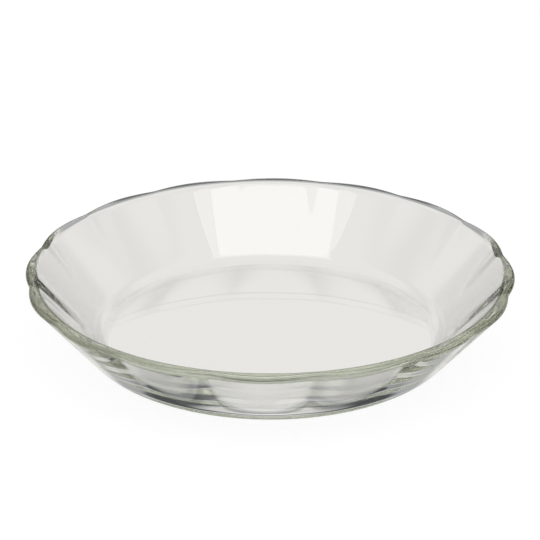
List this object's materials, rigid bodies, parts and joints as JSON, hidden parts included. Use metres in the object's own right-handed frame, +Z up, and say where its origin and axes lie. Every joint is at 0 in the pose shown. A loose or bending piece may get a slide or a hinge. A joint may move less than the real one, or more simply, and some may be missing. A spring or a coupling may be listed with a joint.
{
  "type": "gratin dish",
  "caption": "Shallow round baking dish of clear heat-resistant glass, with a flat floor, a sloping wall that is fluted outside and smooth inside, and a squared scalloped rim.",
  "frame": {"origin": "middle of the flat underside that the dish stands on", "axes": "+Z up through the open mouth, with a flute's crest on the X axis and on the Y axis"},
  "size_m": [0.22, 0.22, 0.0352],
  "materials": {
    "clear_glass": "clear pressed glass, smooth and glossy, with a faint olive tint that shows only along edges"
  },
  "bodies": {
    "root": {"glass_dish": "clear_glass"}
  },
  "joints": []
}
